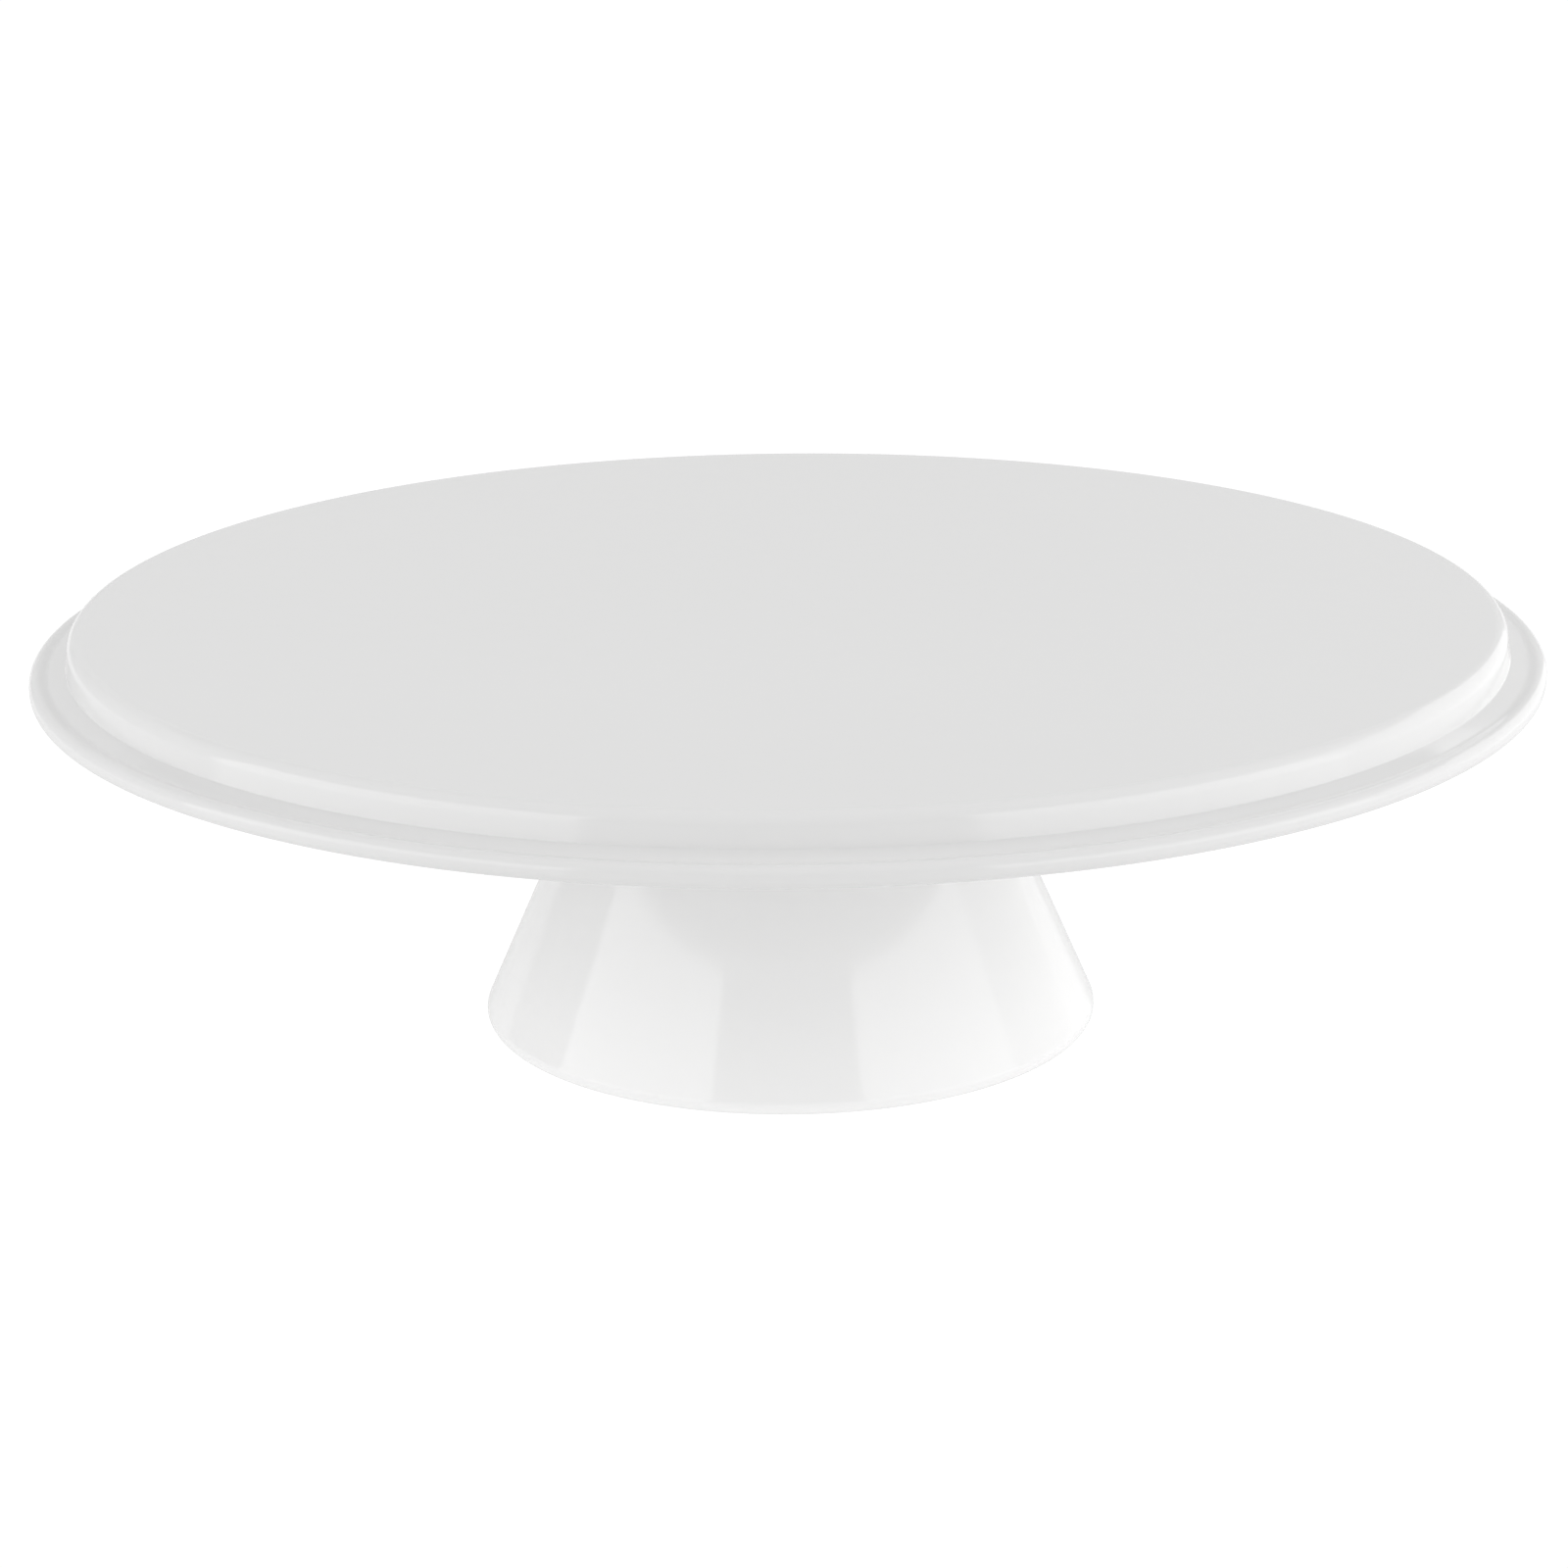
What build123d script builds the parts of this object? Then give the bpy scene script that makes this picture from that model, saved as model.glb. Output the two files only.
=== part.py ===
from build123d import *
import math
import os

# Revolving cake stand. Millimetres, +Z up.
# Origin: on the ground plane, on the axis the plate turns about.

# ---------------------------------------------------------------- driving dimensions

# plate
plate_radius = 152.5
stand_height = 87.9
deck_thickness = 3.4
plateau_radius = 144.5        # top of the plateau's side wall
plateau_edge_round = 2.9
ledge_inner_radius = 145.2    # foot of the plateau's side wall
ledge_inner_height = 81.65
ledge_outer_radius = 149.0
ledge_outer_height = 80.35
bead_crest_radius = 150.5
bead_crest_height = 80.55
bead_start_rise = 0.2         # rise of the bead for each unit outwards, where it leaves the ledge
rim_face_top = 78.9
rim_underside = 76.6
rim_round = 1.6
rim_inner_round = 0.8
side_wall = 3.4               # thickness of the plateau's side wall
under_deck_round = 2.0

rib_count = 12
rib_thickness = 1.8
rib_height = 3.0
ring_rib_radius = 88.0

hub_radius = 9.5
hub_bottom = 77.5
dust_skirt_inner = 31.6
dust_skirt_wall = 1.8
dust_skirt_bottom = 79.2

# pedestal
cone_radius_at_ground = 64.7  # where the cone's straight side would meet the ground
cone_slope = 0.44             # fall of radius for each unit of height
foot_rim_height = 0.5         # the moulded rim stands this far above the ground
foot_round = 2.2
pedestal_wall = 3.2
pedestal_top = 80.4
neck_round = 0.8
race_rib_height = 1.2         # locating rib inside the lower race, above its seat
web_count = 3
web_angle = 90.0
web_thickness = 2.4
web_inner_radius = 30.0       # inner edge of the webs below the spindle tube

# ball bearing between pedestal and plate
ball_radius = 2.0
ball_count = 18
ball_circle_radius = 22.25
track_radius = 2.3            # radius of the grooves the balls run in
track_depth = 0.6
track_clearance = 0.04
race_thickness = 1.4
race_inner_radius = 18.5
race_outer_radius = 26.0
race_edge = 0.2
race_rib_wall = 2.0           # moulded ribs that locate the races
race_rib_clearance = 0.1
race_rib_drop = 2.0           # the plate's ribs hang this far below its deck
cage_thickness = 1.6
cage_half_width = 3.05
cage_pocket_clearance = 0.15

# spindle, bushes and the parts that hold the spindle
spindle_radius = 4.0
spindle_thread_radius = 3.0
spindle_edge = 0.5
screwdriver_slot_width = 1.2
screwdriver_slot_depth = 1.4
bush_clearance = 0.05
bush_radius = 6.5
bush_length = 10.0
bush_flange_radius = 9.5
bush_flange_thickness = 1.5
bush_edge = 0.4
tube_radius = 10.0
tube_top = 75.4
tube_bottom = 44.0
insert_radius = 5.0
insert_waist_radius = 4.5
insert_waist_height = 1.6
insert_roof = 0.8             # plastic between the insert's end and the deck's underside
spindle_end_gap = 0.6         # air between the spindle's end and that plastic
washer_radius = 9.0
washer_hole_radius = 3.1
washer_thickness = 1.2
washer_edge = 0.2
spring_inner_radius = 4.2
spring_radius = 8.5
spring_thickness = 0.5
spring_rise = 0.6
spring_clearance = 0.05
nut_across_flats = 10.0
nut_height = 6.0
nut_collar_height = 1.3
nut_collar_radius = 4.4
nut_edge = 0.5
spindle_end_length = 1.6      # thread that stands out below the nut

# base cover, its screws, foot pads and ballast
cover_radius = 58.5
cover_gap = 0.7               # gap round the cover, inside the foot
cover_seat_radius = 56.5
cover_bottom = 2.6
cover_top = 5.0
cover_edge = 0.5
spigot_wall = 1.4             # ring on the cover that centres the ballast
spigot_height = 3.0
spigot_clearance = 0.1
screw_count = 3
screw_circle_radius = 48.0
screw_angle = 30.0
screw_radius = 1.7
screw_length = 12.0
screw_point = 1.5
screw_tip_radius = 0.425
screw_head_radius = 3.4
screw_head_land = 0.3
screw_recess_depth = 1.2
screw_recess_length = 3.6
screw_recess_width = 0.9
screw_hole_clearance = 0.2
screw_boss_radius = 4.8
screw_boss_height = 30.0
screw_pilot_spare = 1.0       # pilot hole beyond the screw's point
pad_count = 6
pad_circle_radius = 49.0
pad_radius = 6.0
pad_recess_depth = 0.8
pad_edge_round = 0.6
ballast_inner_radius = 24.0
ballast_outer_radius = 41.5
ballast_height = 8.0
ballast_edge = 0.6

# ---------------------------------------------------------------- worked-out heights and radii

deck_underside = stand_height - deck_thickness
inner_wall_radius = ledge_inner_radius - side_wall

upper_race_bottom = deck_underside - race_thickness
ball_height = upper_race_bottom + track_depth - track_clearance - ball_radius
lower_race_top = ball_height - ball_radius - track_clearance + track_depth
lower_race_bottom = lower_race_top - race_thickness
race_rib_inner_edge = race_inner_radius - race_rib_clearance
race_rib_outer_edge = race_outer_radius + race_rib_clearance

insert_top = deck_underside - insert_roof
spindle_top = insert_top - spindle_end_gap
lower_flange_bottom = tube_bottom - bush_flange_thickness
spring_top = lower_flange_bottom - spring_clearance
washer_top = spring_top - spring_thickness - spring_rise
washer_bottom = washer_top - washer_thickness
nut_bottom = washer_bottom - nut_height
spindle_bottom = nut_bottom - spindle_end_length
bush_bore = spindle_radius + bush_clearance

foot_bore = cover_radius + cover_gap
ballast_top = cover_top + ballast_height
spigot_inner_radius = ballast_outer_radius + spigot_clearance

cone_angle = math.atan(cone_slope)
cone_wall_across = pedestal_wall / math.cos(cone_angle)


def cone_radius(height):
    """Outer radius of the pedestal's straight side at a height."""
    return cone_radius_at_ground - cone_slope * height


def cone_bore(height):
    """Inner radius of the pedestal's shell at a height."""
    return cone_radius(height) - cone_wall_across


def corner(sketch, radius, height):
    """The corner of a section that lies at a radius and a height."""
    return sketch.vertices().sort_by_distance((radius, height))[0]


def ring_section(inner, outer, bottom, top):
    """A rectangle in the section plane, for a ring about the turning axis."""
    with Locations(((inner + outer) / 2, (bottom + top) / 2)):
        Rectangle(outer - inner, top - bottom)


def save(builder, label):
    """Label a finished piece and write it to its own STEP file."""
    builder.part.label = label
    export_step(builder.part, f"parts/{label}.step")


os.makedirs("parts", exist_ok=True)

# ---------------------------------------------------------------- plate

with BuildPart() as plate:
    # deck, plateau wall, ledge, bead and rim
    with BuildSketch(Plane.XZ) as plate_section:
        with BuildLine():
            Polyline(
                (ledge_outer_radius, ledge_outer_height),
                (ledge_inner_radius, ledge_inner_height),
                (plateau_radius, stand_height),
                (0, stand_height),
                (0, deck_underside),
                (inner_wall_radius, deck_underside),
                (inner_wall_radius, rim_underside),
                (plate_radius, rim_underside),
                (plate_radius, rim_face_top),
            )
            Spline(
                (ledge_outer_radius, ledge_outer_height),
                (bead_crest_radius, bead_crest_height),
                (plate_radius, rim_face_top),
                tangents=((1, bead_start_rise), (0, -1)),
            )
        make_face()
        fillet(corner(plate_section, plateau_radius, stand_height), plateau_edge_round)
        fillet(corner(plate_section, plate_radius, rim_underside), rim_round)
        fillet(corner(plate_section, inner_wall_radius, rim_underside), rim_inner_round)
        fillet(corner(plate_section, inner_wall_radius, deck_underside), under_deck_round)
    revolve(axis=Axis.Z)

    # hub, race ribs, dust skirt and ring rib, hanging from the deck
    with BuildSketch(Plane.XZ):
        ring_section(0, hub_radius, hub_bottom, deck_underside)
        rib_end = deck_underside - race_rib_drop
        ring_section(race_rib_inner_edge - race_rib_wall, race_rib_inner_edge, rib_end, deck_underside)
        ring_section(race_rib_outer_edge, race_rib_outer_edge + race_rib_wall, rib_end, deck_underside)
        dust_skirt_outer = dust_skirt_inner + dust_skirt_wall
        ring_section(dust_skirt_inner, dust_skirt_outer, dust_skirt_bottom, deck_underside)
        ring_section(
            ring_rib_radius - rib_thickness / 2,
            ring_rib_radius + rib_thickness / 2,
            deck_underside - rib_height,
            deck_underside,
        )
    revolve(axis=Axis.Z)

    # radial ribs from the dust skirt to the side wall
    rib_start = dust_skirt_inner + dust_skirt_wall / 2
    rib_stop = inner_wall_radius + side_wall / 2
    with BuildSketch(Plane.XY.offset(deck_underside - rib_height)):
        with PolarLocations((rib_start + rib_stop) / 2, rib_count):
            Rectangle(rib_stop - rib_start, rib_thickness)
    extrude(amount=rib_height)

    # pocket for the threaded insert
    with BuildSketch(Plane.XY.offset(hub_bottom)):
        Circle(insert_radius)
    extrude(amount=insert_top - hub_bottom, mode=Mode.SUBTRACT)
save(plate, "plate")

# ---------------------------------------------------------------- pedestal

with BuildPart() as pedestal:
    # bosses for the cover screws
    with BuildSketch(Plane.XY.offset(cover_top)):
        with PolarLocations(screw_circle_radius, screw_count, screw_angle):
            Circle(screw_boss_radius)
    extrude(amount=screw_boss_height)

    # webs: the lower part holds the ballast down, the upper part steadies the spindle tube
    web_reach = cone_bore(ballast_top) + pedestal_wall / 2
    with BuildSketch(Plane.XY.offset(ballast_top)):
        with PolarLocations((web_inner_radius + web_reach) / 2, web_count, web_angle):
            Rectangle(web_reach - web_inner_radius, web_thickness)
    extrude(amount=tube_bottom - ballast_top)
    upper_reach = cone_bore(tube_bottom) + pedestal_wall / 2
    upper_start = (bush_radius + tube_radius) / 2
    with BuildSketch(Plane.XY.offset(tube_bottom)):
        with PolarLocations((upper_start + upper_reach) / 2, web_count, web_angle):
            Rectangle(upper_reach - upper_start, web_thickness)
    extrude(amount=tube_top - tube_bottom)

    # bosses and webs end inside the thickness of the cone
    with BuildSketch(Plane.XZ):
        with BuildLine():
            Polyline(
                (0, 0),
                (cone_radius(0) - cone_wall_across / 2, 0),
                (cone_radius(pedestal_top) - cone_wall_across / 2, pedestal_top),
                (0, pedestal_top),
                close=True,
            )
        make_face()
    revolve(axis=Axis.Z, mode=Mode.INTERSECT)

    # cone, race seat, bush recess and spindle tube
    deck_step_radius = race_rib_inner_edge + race_rib_wall / 2
    recess_radius = race_rib_inner_edge - race_rib_wall
    recess_underside = tube_top - pedestal_wall
    seat_start_height = (cone_bore(0) - cover_seat_radius) / cone_slope
    with BuildSketch(Plane.XZ) as pedestal_section:
        with BuildLine():
            Polyline(
                (foot_bore, foot_rim_height),
                (cone_radius(foot_rim_height), foot_rim_height),
                (cone_radius(pedestal_top), pedestal_top),
                (race_rib_outer_edge, pedestal_top),
                (race_rib_outer_edge, lower_race_bottom),
                (race_rib_inner_edge, lower_race_bottom),
                (race_rib_inner_edge, lower_race_bottom + race_rib_height),
                (recess_radius, lower_race_bottom + race_rib_height),
                (recess_radius, tube_top),
                (bush_radius, tube_top),
                (bush_radius, tube_bottom),
                (tube_radius, tube_bottom),
                (tube_radius, recess_underside),
                (deck_step_radius, recess_underside),
                (deck_step_radius, tube_top),
                (cone_bore(tube_top), tube_top),
                (cover_seat_radius, seat_start_height),
                (cover_seat_radius, cover_top),
                (foot_bore, cover_top),
                close=True,
            )
        make_face()
        foot_corner = corner(pedestal_section, cone_radius(foot_rim_height), foot_rim_height)
        fillet(foot_corner, foot_round)
        neck_corner = corner(pedestal_section, cone_radius(pedestal_top), pedestal_top)
        fillet(neck_corner, neck_round)
    revolve(axis=Axis.Z)

    # pilot holes in the bosses
    with BuildSketch(Plane.XY.offset(cover_top)):
        with PolarLocations(screw_circle_radius, screw_count, screw_angle):
            Circle(screw_radius)
    pilot_depth = cover_bottom + screw_length + screw_pilot_spare - cover_top
    extrude(amount=pilot_depth, mode=Mode.SUBTRACT)
save(pedestal, "pedestal")

# ---------------------------------------------------------------- ball bearing

with BuildPart() as lower_race:
    with BuildSketch(Plane.XZ) as lower_race_section:
        ring_section(race_inner_radius, race_outer_radius, lower_race_bottom, lower_race_top)
        chamfer(lower_race_section.vertices(), race_edge)
        with Locations((ball_circle_radius, lower_race_top - track_depth + track_radius)):
            Circle(track_radius, mode=Mode.SUBTRACT)
    revolve(axis=Axis.Z)
save(lower_race, "lower_race")

with BuildPart() as upper_race:
    with BuildSketch(Plane.XZ) as upper_race_section:
        ring_section(race_inner_radius, race_outer_radius, upper_race_bottom, deck_underside)
        chamfer(upper_race_section.vertices(), race_edge)
        with Locations((ball_circle_radius, upper_race_bottom + track_depth - track_radius)):
            Circle(track_radius, mode=Mode.SUBTRACT)
    revolve(axis=Axis.Z)
save(upper_race, "upper_race")

with BuildPart() as ball_cage:
    with BuildSketch(Plane.XY.offset(ball_height - cage_thickness / 2)):
        Circle(ball_circle_radius + cage_half_width)
        Circle(ball_circle_radius - cage_half_width, mode=Mode.SUBTRACT)
        with PolarLocations(ball_circle_radius, ball_count):
            Circle(ball_radius + cage_pocket_clearance, mode=Mode.SUBTRACT)
    extrude(amount=cage_thickness)
save(ball_cage, "ball_cage")

with BuildPart(Plane.XY.offset(ball_height)) as bearing_balls:
    with PolarLocations(ball_circle_radius, ball_count):
        Sphere(ball_radius)
save(bearing_balls, "bearing_balls")

# ---------------------------------------------------------------- bushes

with BuildPart() as upper_bush:
    with BuildSketch(Plane.XZ) as upper_bush_section:
        ring_section(bush_bore, bush_radius, tube_top - bush_length, tube_top)
        ring_section(bush_bore, bush_flange_radius, tube_top, tube_top + bush_flange_thickness)
        chamfer(corner(upper_bush_section, bush_radius, tube_top - bush_length), bush_edge)
        flange_corner = corner(
            upper_bush_section, bush_flange_radius, tube_top + bush_flange_thickness
        )
        chamfer(flange_corner, bush_edge)
    revolve(axis=Axis.Z)
save(upper_bush, "upper_bush")

with BuildPart() as lower_bush:
    with BuildSketch(Plane.XZ) as lower_bush_section:
        ring_section(bush_bore, bush_radius, tube_bottom, tube_bottom + bush_length)
        ring_section(bush_bore, bush_flange_radius, lower_flange_bottom, tube_bottom)
        chamfer(corner(lower_bush_section, bush_radius, tube_bottom + bush_length), bush_edge)
        chamfer(corner(lower_bush_section, bush_flange_radius, lower_flange_bottom), bush_edge)
    revolve(axis=Axis.Z)
save(lower_bush, "lower_bush")

# ---------------------------------------------------------------- spindle and what holds it

with BuildPart() as hub_insert:
    with BuildSketch(Plane.XZ):
        ring_section(spindle_thread_radius, insert_radius, hub_bottom, insert_top)
        waist_middle = (hub_bottom + insert_top) / 2
        with Locations((insert_radius, waist_middle)):
            Rectangle(
                2 * (insert_radius - insert_waist_radius),
                insert_waist_height,
                mode=Mode.SUBTRACT,
            )
    revolve(axis=Axis.Z)
save(hub_insert, "hub_insert")

with BuildPart() as spindle:
    with BuildSketch(Plane.XZ) as spindle_section:
        ring_section(0, spindle_thread_radius, spindle_bottom, spindle_top)
        ring_section(0, spindle_radius, washer_top, hub_bottom)
        chamfer(corner(spindle_section, spindle_thread_radius, spindle_bottom), spindle_edge)
        chamfer(corner(spindle_section, spindle_thread_radius, spindle_top), spindle_edge)
    revolve(axis=Axis.Z)
    # slot for a screwdriver in the lower end
    with BuildSketch(Plane.XY.offset(spindle_bottom)):
        Rectangle(2 * spindle_radius, screwdriver_slot_width)
    extrude(amount=screwdriver_slot_depth, mode=Mode.SUBTRACT)
save(spindle, "spindle")

with BuildPart() as disc_spring:
    with BuildSketch(Plane.XZ):
        with BuildLine():
            Polyline(
                (spring_inner_radius, spring_top),
                (spring_inner_radius, spring_top - spring_thickness),
                (spring_radius, washer_top),
                (spring_radius, washer_top + spring_thickness),
                close=True,
            )
        make_face()
    revolve(axis=Axis.Z)
save(disc_spring, "disc_spring")

with BuildPart() as retaining_washer:
    with BuildSketch(Plane.XZ) as washer_section:
        ring_section(washer_hole_radius, washer_radius, washer_bottom, washer_top)
        chamfer(corner(washer_section, washer_radius, washer_bottom), washer_edge)
    revolve(axis=Axis.Z)
save(retaining_washer, "retaining_washer")

with BuildPart() as lock_nut:
    with BuildSketch(Plane.XY.offset(nut_bottom + nut_collar_height)):
        RegularPolygon(nut_across_flats / 2, 6, major_radius=False)
    extrude(amount=nut_height - nut_collar_height)
    with BuildSketch(Plane.XY.offset(nut_bottom)):
        Circle(nut_collar_radius)
    extrude(amount=nut_collar_height)
    with BuildSketch(Plane.XY.offset(nut_bottom)):
        Circle(spindle_thread_radius)
    extrude(amount=nut_height, mode=Mode.SUBTRACT)
save(lock_nut, "lock_nut")

# ---------------------------------------------------------------- foot

with BuildPart() as ballast_ring:
    with BuildSketch(Plane.XZ) as ballast_section:
        ring_section(ballast_inner_radius, ballast_outer_radius, cover_top, ballast_top)
        chamfer(ballast_section.vertices(), ballast_edge)
    revolve(axis=Axis.Z)
save(ballast_ring, "ballast_ring")

with BuildPart() as base_cover:
    with BuildSketch(Plane.XZ) as cover_section:
        ring_section(0, cover_radius, cover_bottom, cover_top)
        chamfer(corner(cover_section, cover_radius, cover_bottom), cover_edge)
        ring_section(
            spigot_inner_radius,
            spigot_inner_radius + spigot_wall,
            cover_top,
            cover_top + spigot_height,
        )
    revolve(axis=Axis.Z)
    # recesses for the foot pads
    with BuildSketch(Plane.XY.offset(cover_bottom)):
        with PolarLocations(pad_circle_radius, pad_count):
            Circle(pad_radius)
    extrude(amount=pad_recess_depth, mode=Mode.SUBTRACT)
    # screw holes, countersunk from below; seen from below their angles run the other way
    with Locations(Plane(origin=(0, 0, cover_bottom), x_dir=(1, 0, 0), z_dir=(0, 0, -1))):
        with PolarLocations(screw_circle_radius, screw_count, -screw_angle):
            CounterSinkHole(
                radius=screw_radius + screw_hole_clearance,
                counter_sink_radius=screw_head_radius + screw_head_land + screw_hole_clearance,
                depth=cover_top - cover_bottom,
                counter_sink_angle=90,
            )
save(base_cover, "base_cover")

with BuildPart() as cover_screws:
    with Locations(Plane.XY.offset(cover_bottom)):
        with PolarLocations(screw_circle_radius, screw_count, screw_angle):
            head_height = screw_head_radius - screw_radius
            cone_base = (0, 0, screw_head_land + head_height / 2)
            shank_start = screw_head_land + head_height
            with Locations((0, 0, screw_head_land / 2)):
                Cylinder(screw_head_radius, screw_head_land)
            with Locations(cone_base):
                Cone(screw_head_radius, screw_radius, head_height)
            shank_length = screw_length - screw_point - shank_start
            with Locations((0, 0, shank_start + shank_length / 2)):
                Cylinder(screw_radius, shank_length)
            with Locations((0, 0, screw_length - screw_point / 2)):
                Cone(screw_radius, screw_tip_radius, screw_point)
            # cross recess
            with Locations((0, 0, screw_recess_depth / 2)):
                Box(screw_recess_length, screw_recess_width, screw_recess_depth, mode=Mode.SUBTRACT)
                Box(screw_recess_width, screw_recess_length, screw_recess_depth, mode=Mode.SUBTRACT)
save(cover_screws, "cover_screws")

with BuildPart() as foot_pads:
    with BuildSketch(Plane.XY):
        with PolarLocations(pad_circle_radius, pad_count):
            Circle(pad_radius)
    extrude(amount=cover_bottom + pad_recess_depth)
    fillet(foot_pads.faces().sort_by(Axis.Z)[:pad_count].edges(), pad_edge_round)
save(foot_pads, "foot_pads")
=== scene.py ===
import math

import bmesh
import bpy
from mathutils import Matrix, Vector


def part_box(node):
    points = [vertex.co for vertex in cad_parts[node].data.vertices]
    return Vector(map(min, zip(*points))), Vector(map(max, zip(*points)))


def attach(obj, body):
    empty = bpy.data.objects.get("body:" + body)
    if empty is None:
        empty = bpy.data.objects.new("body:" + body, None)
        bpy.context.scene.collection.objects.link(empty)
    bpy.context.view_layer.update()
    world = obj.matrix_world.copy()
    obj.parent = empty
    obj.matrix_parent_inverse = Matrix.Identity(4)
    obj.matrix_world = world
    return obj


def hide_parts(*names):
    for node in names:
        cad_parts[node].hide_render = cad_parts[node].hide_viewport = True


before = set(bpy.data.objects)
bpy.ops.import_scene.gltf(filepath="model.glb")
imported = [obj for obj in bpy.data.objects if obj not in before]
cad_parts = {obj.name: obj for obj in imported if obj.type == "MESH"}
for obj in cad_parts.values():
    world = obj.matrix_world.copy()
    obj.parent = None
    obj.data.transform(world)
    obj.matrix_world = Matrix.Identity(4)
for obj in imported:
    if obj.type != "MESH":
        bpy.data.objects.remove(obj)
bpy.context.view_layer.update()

# Revolving cake stand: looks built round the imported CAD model. Metres, +Z up.
# Outlines are written in millimetres, as in the CAD source, and scaled by MM when a mesh is made.

MM = 0.001

# ---------------------------------------------------------------- sizes, in millimetres

plate_low, plate_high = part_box("plate")
PLATE_RADIUS = plate_high.x / MM
STAND_HEIGHT = plate_high.z / MM
RIM_UNDERSIDE = plate_low.z / MM
DECK_WALL = 3.4
DECK_UNDERSIDE = STAND_HEIGHT - DECK_WALL

PLATEAU_RADIUS = 144.5
PLATEAU_EDGE_ROUND = 2.9
LEDGE_INNER = (145.2, 81.65)
LEDGE_OUTER = (149.0, 80.35)
LEDGE_ROUND = 0.35
BEAD_CREST = (150.5, 80.55)
VALLEY_SHARE = 0.15           # how much of the ledge the soft valley takes
RIM_FACE_TOP = 78.9
RIM_ROUND = 1.6
RIM_INNER_ROUND = 0.8
INNER_WALL = 141.8
UNDER_DECK_ROUND = 2.0

RIB_COUNT = 12
RIB_HALF = 0.9
RIB_TIP_HALF = 0.82
RIB_HEIGHT = 3.0
RIB_ROOT_ROUND = 0.5
RIB_TIP_ROUND = 0.4
RING_RIB_RADIUS = 88.0
SKIRT_INNER = 31.6
SKIRT_OUTER = 33.4
SKIRT_BOTTOM = 79.2
RACE_RIB_HEIGHT = 2.0
RACE_RIB_BOTTOM = DECK_UNDERSIDE - RACE_RIB_HEIGHT
OUTER_RACE_RIB = (26.1, 28.1)
INNER_RACE_RIB = (16.4, 18.4)
HUB_RADIUS = 9.5
HUB_BOTTOM = 77.5
INSERT_RADIUS = 5.0
WALL_OVER_INSERT = 0.8
INSERT_TOP = DECK_UNDERSIDE - WALL_OVER_INSERT

EDGE_ROUND = 0.3              # small edges of the mouldings
END_ROUND = 0.4               # ends of skirt, hub and tube

PLATE_STEPS = 18              # divisions between two neighbouring ribs
BEAD_RISE_STEPS = 9           # divisions of the bead from its valley to its crest
BEAD_TURN_STEPS = 12          # and from its crest down into the rim's face
RIB_ROUND_ANGLES = tuple(math.radians(angle) for angle in (0, 30, 60, 90))
ROUND_STEPS = 360             # divisions round any other turned shape

ON_AXIS = 1e-6                # a smaller radius than this is the axis
MERGE_WITHIN = 1e-6           # points closer than this are one, in metres
SHORTEST_EDGE = 1e-7          # in metres


# ---------------------------------------------------------------- outlines and meshes

def arc_points(before, corner, after, radius, step=math.radians(7.5)):
    """Points of the arc that rounds a corner of an outline."""
    before, corner, after = Vector(before), Vector(corner), Vector(after)
    inward = (before - corner).normalized()
    outward = (after - corner).normalized()
    half = inward.angle(outward) / 2
    centre = corner + (inward + outward).normalized() * (radius / math.sin(half))
    start = corner + inward * (radius / math.tan(half)) - centre
    end = corner + outward * (radius / math.tan(half)) - centre
    turn = math.pi - 2 * half
    count = max(3, math.ceil(turn / step))
    points = []
    for k in range(count + 1):
        share = k / count
        from_start = math.sin((1 - share) * turn) / math.sin(turn)
        from_end = math.sin(share * turn) / math.sin(turn)
        points.append(centre + start * from_start + end * from_end)
    return points


def outline(corners, closed=True):
    """An outline from corners (radius, height) or (radius, height, rounding)."""
    points = []
    count = len(corners)
    for i, corner in enumerate(corners):
        at_end = not closed and i in (0, count - 1)
        if len(corner) == 2 or at_end:
            points.append(Vector(corner[:2]))
            continue
        before = corners[i - 1][:2]
        after = corners[(i + 1) % count][:2]
        points += arc_points(before, corner[:2], after, corner[2])
    return points


def supported(points, near=0.25, longest=12.0, closed=True):
    """Adds a point close to each end of every long straight, so that shading stays flat along it,
    and more points along it where it is longer than longest."""
    result = []
    count = len(points)
    for i, start in enumerate(points):
        result.append(start)
        if not closed and i == count - 1:
            break
        end = points[(i + 1) % count]
        length = (end - start).length
        if length < 4 * near:
            continue
        along = (end - start) / length
        result.append(start + along * near)
        pieces = math.ceil(length / longest)
        for k in range(1, pieces):
            result.append(start + along * (length * k / pieces))
        result.append(end - along * near)
    return result


def clean_mesh(name, bm, sharp=math.radians(32)):
    """Merges doubled points, faces the normals outward and shades smooth except at sharp edges."""
    bmesh.ops.remove_doubles(bm, verts=bm.verts, dist=MERGE_WITHIN)
    bmesh.ops.dissolve_degenerate(bm, edges=bm.edges, dist=SHORTEST_EDGE)
    bmesh.ops.recalc_face_normals(bm, faces=bm.faces)
    for face in bm.faces:
        face.smooth = True
    for edge in bm.edges:
        edge.smooth = not (edge.is_manifold and edge.calc_face_angle() > sharp)
    mesh = bpy.data.meshes.new(name)
    bm.to_mesh(mesh)
    bm.free()
    return mesh


def add_object(name, mesh):
    """A new object in the scene for a mesh."""
    thing = bpy.data.objects.new(name, mesh)
    bpy.context.scene.collection.objects.link(thing)
    return thing


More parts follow.
